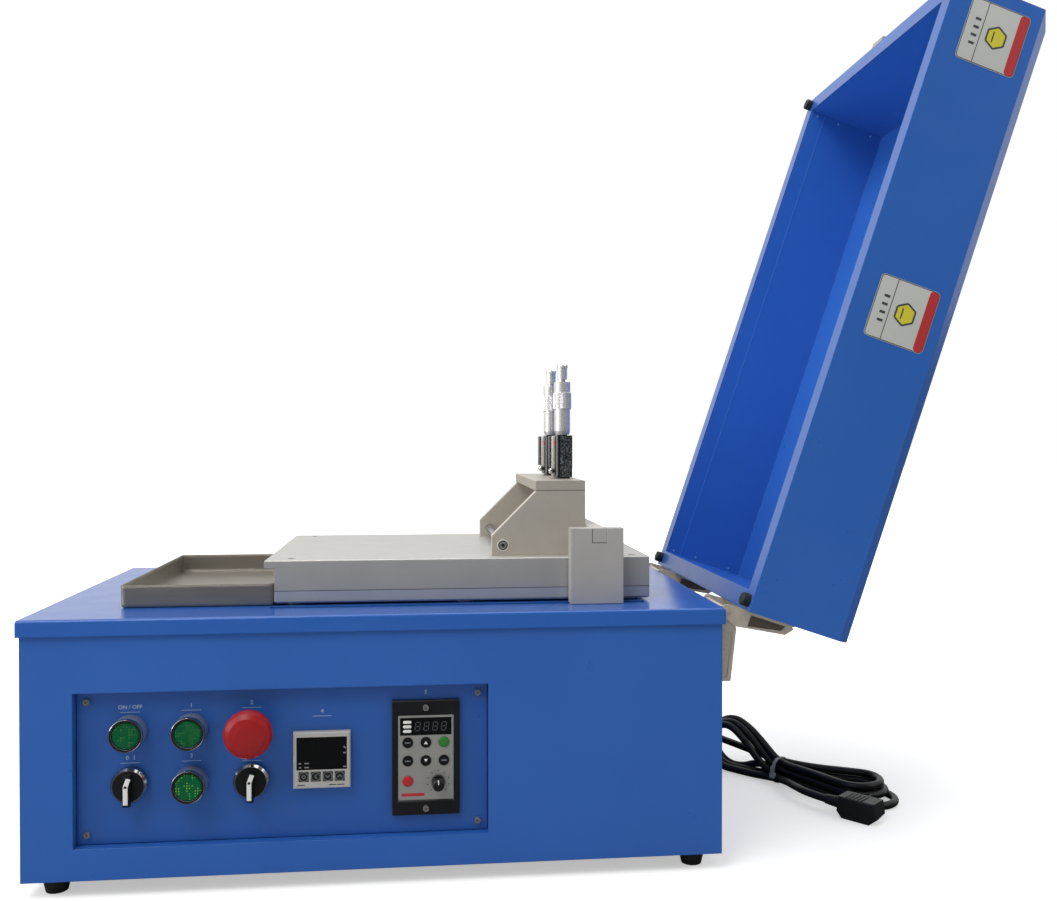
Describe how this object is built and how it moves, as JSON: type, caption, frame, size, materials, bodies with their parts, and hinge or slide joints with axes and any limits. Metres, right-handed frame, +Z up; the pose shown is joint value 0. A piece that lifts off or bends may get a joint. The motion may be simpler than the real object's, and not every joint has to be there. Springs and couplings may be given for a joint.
{
  "type": "film coater",
  "caption": "Table-top film coater: heated bed, hinged drying lid, motor-driven pusher, applicator with micrometer heads, and front control panel",
  "frame": {"origin": "centre of the four feet, at the height of the bench top", "axes": "+X to the right along the front, +Y to the back, +Z up; the lid's hinge is at +X"},
  "size_m": [0.9154, 0.368, 0.8068],
  "materials": {
    "blue_paint": "satin powder coat",
    "cover_paint": "smooth satin powder coat",
    "liner_paint": "satin powder coat",
    "rubber_black": "matt rubber",
    "panel_steel": "satin powder coat on steel",
    "bed_aluminium": "fine-ground anodised aluminium",
    "heater_rubber": "silicone rubber heater mat",
    "tray_steel": "brushed stainless steel sheet",
    "machined_aluminium": "machined, satin",
    "stainless": "ground stainless steel",
    "plated_steel": "zinc-plated steel, dulled",
    "bright_chrome": "polished chrome plate",
    "frame_black": "black crackle paint",
    "black_plastic": "matt moulded plastic",
    "green_lens": "translucent green lens",
    "red_plastic": "glossy red plastic",
    "instrument_grey": "light grey moulded plastic",
    "controller_silver": "silver face plate",
    "dark_window": "smoked display window",
    "membrane": "printed membrane keys",
    "drive_steel": "ground steel",
    "motor_black": "black motor housing",
    "inner_steel": "galvanised sheet steel",
    "cord_rubber": "black rubber sheath"
  },
  "bodies": {
    "housing": {"housing_shell": "blue_paint", "bottom_plate": "inner_steel", "top_cover": "cover_paint", "feet": "rubber_black", "control_panel": "panel_steel", "panel_screws": "drive_steel", "push_button_bezels": "bright_chrome", "stop_base": "bright_chrome", "selector_bezels": "bright_chrome", "temperature_controller": "instrument_grey", "display_windows": "dark_window", "speed_frame": "black_plastic", "speed_controller": "controller_silver", "speed_keypad": "membrane", "bed_spacers": "bed_aluminium", "bed_base_plate": "bed_aluminium", "bed_heater": "heater_rubber", "bed_plate": "bed_aluminium", "bed_screws": "drive_steel", "drive_end_blocks": "machined_aluminium", "guide_rods": "drive_steel", "drive_motor": "motor_black", "electrics": "inner_steel", "hinge_leaves": "plated_steel", "latch_base": "plated_steel", "cord_gland": "black_plastic", "cord": "cord_rubber", "cord_hank": "cord_rubber", "plug": "black_plastic"},
    "lid": {"lid_shell": "blue_paint", "lid_liner": "liner_paint", "lid_bumpers": "rubber_black", "hinge_arms": "plated_steel", "latch_keeper": "plated_steel"},
    "latch_lever": {"latch_lever": "plated_steel"},
    "latch_bail": {"latch_bail": "plated_steel"},
    "spill_tray": {"spill_tray": "tray_steel"},
    "drive_screw": {"lead_screw": "drive_steel", "shaft_coupling": "machined_aluminium"},
    "carriage": {"crosshead": "machined_aluminium", "pusher_uprights": "machined_aluminium"},
    "pusher_bar": {"pusher_bar": "stainless"},
    "applicator": {"applicator_cheeks": "machined_aluminium", "applicator_crossbar": "machined_aluminium", "applicator_tie_rod": "stainless", "micrometer_frames": "frame_black"},
    "blade": {"coating_blade": "stainless"},
    "near_thimble": {"near_thimble": "bright_chrome"},
    "far_thimble": {"far_thimble": "bright_chrome"},
    "power_cap": {"power_cap": "green_lens"},
    "start_cap": {"start_cap": "green_lens"},
    "heating_cap": {"heating_cap": "green_lens"},
    "stop_head": {"stop_head": "red_plastic"},
    "mode_knob": {"mode_knob": "black_plastic"},
    "direction_knob": {"direction_knob": "black_plastic"},
    "speed_knob": {"speed_knob": "black_plastic"},
    "thermo_key_1": {"thermo_key_1": "black_plastic"},
    "thermo_key_2": {"thermo_key_2": "black_plastic"},
    "thermo_key_3": {"thermo_key_3": "black_plastic"},
    "thermo_key_4": {"thermo_key_4": "black_plastic"}
  },
  "joints": [
    {"name": "lid_hinge", "type": "hinge", "parent": "housing", "child": "lid", "pos_m": [0.306, 0, 0.228], "axis": [0, 1, 0], "range_deg": [-108.6, 0]},
    {"name": "carriage_slide", "type": "slide", "parent": "housing", "child": "carriage", "axis": [-1, 0, 0], "range_m": [0, 0.2]},
    {"name": "drive_screw_spin", "type": "hinge", "parent": "housing", "child": "drive_screw", "pos_m": [0, 0, 0.184], "axis": [1, 0, 0], "range_deg": [0, 7200]},
    {"name": "pusher_bar_lift", "type": "slide", "parent": "carriage", "child": "pusher_bar", "axis": [0, 0, 1], "range_m": [0, 0.05]},
    {"name": "applicator_takeoff", "type": "slide", "parent": "carriage", "child": "applicator", "axis": [-1, 0, 0], "range_m": [0, 0.5881]},
    {"name": "blade_lift", "type": "slide", "parent": "applicator", "child": "blade", "axis": [0, 0, 1], "range_m": [0, 0.0035]},
    {"name": "near_thimble_spin", "type": "hinge", "parent": "blade", "child": "near_thimble", "pos_m": [0.172, -0.043, 0.3856], "axis": [0, 0, 1], "range_deg": [0, 2520]},
    {"name": "far_thimble_spin", "type": "hinge", "parent": "blade", "child": "far_thimble", "pos_m": [0.172, 0.043, 0.3856], "axis": [0, 0, 1], "range_deg": [0, 2520]},
    {"name": "tray_slide", "type": "slide", "parent": "housing", "child": "spill_tray", "axis": [-1, 0, 0], "range_m": [0, 0.06]},
    {"name": "latch_lever_swing", "type": "hinge", "parent": "housing", "child": "latch_lever", "pos_m": [-0.304, 0, 0.196], "axis": [0, -1, 0], "range_deg": [-120, 0]},
    {"name": "latch_bail_swing", "type": "hinge", "parent": "latch_lever", "child": "latch_bail", "pos_m": [-0.31, 0, 0.188], "axis": [0, 1, 0], "range_deg": [0, 180]},
    {"name": "mode_turn", "type": "hinge", "parent": "housing", "child": "mode_knob", "pos_m": [-0.211, -0.163, 0.092], "axis": [0, -1, 0], "range_deg": [-45, 45]},
    {"name": "direction_turn", "type": "hinge", "parent": "housing", "child": "direction_knob", "pos_m": [-0.111, -0.163, 0.092], "axis": [0, -1, 0], "range_deg": [-45, 45]},
    {"name": "speed_turn", "type": "hinge", "parent": "housing", "child": "speed_knob", "pos_m": [0.0469, -0.163, 0.0865], "axis": [0, -1, 0], "range_deg": [-140, 140]},
    {"name": "stop_press", "type": "slide", "parent": "housing", "child": "stop_head", "axis": [0, 1, 0], "range_m": [0, 0.004], "stiffness_N_per_m": 600, "springref_m": -0.001},
    {"name": "power_press", "type": "slide", "parent": "housing", "child": "power_cap", "axis": [0, 1, 0], "range_m": [0, 0.003], "stiffness_N_per_m": 400, "springref_m": -0.0005},
    {"name": "start_press", "type": "slide", "parent": "housing", "child": "start_cap", "axis": [0, 1, 0], "range_m": [0, 0.003], "stiffness_N_per_m": 400, "springref_m": -0.0005},
    {"name": "heating_press", "type": "slide", "parent": "housing", "child": "heating_cap", "axis": [0, 1, 0], "range_m": [0, 0.003], "stiffness_N_per_m": 400, "springref_m": -0.0005},
    {"name": "thermo_key_1_press", "type": "slide", "parent": "housing", "child": "thermo_key_1", "axis": [0, 1, 0], "range_m": [0, 0.0006], "stiffness_N_per_m": 300, "springref_m": -0.0002},
    {"name": "thermo_key_2_press", "type": "slide", "parent": "housing", "child": "thermo_key_2", "axis": [0, 1, 0], "range_m": [0, 0.0006], "stiffness_N_per_m": 300, "springref_m": -0.0002},
    {"name": "thermo_key_3_press", "type": "slide", "parent": "housing", "child": "thermo_key_3", "axis": [0, 1, 0], "range_m": [0, 0.0006], "stiffness_N_per_m": 300, "springref_m": -0.0002},
    {"name": "thermo_key_4_press", "type": "slide", "parent": "housing", "child": "thermo_key_4", "axis": [0, 1, 0], "range_m": [0, 0.0006], "stiffness_N_per_m": 300, "springref_m": -0.0002}
  ],
  "couplings": [
    {"joint": "drive_screw_spin", "follows": "carriage_slide", "rad_per_m": 628.32},
    {"joint": "applicator_takeoff", "follows": "lid_hinge", "m_per_rad": -0.31},
    {"joint": "near_thimble_spin", "follows": "blade_lift", "rad_per_m": 12566},
    {"joint": "far_thimble_spin", "follows": "blade_lift", "rad_per_m": 12566}
  ]
}
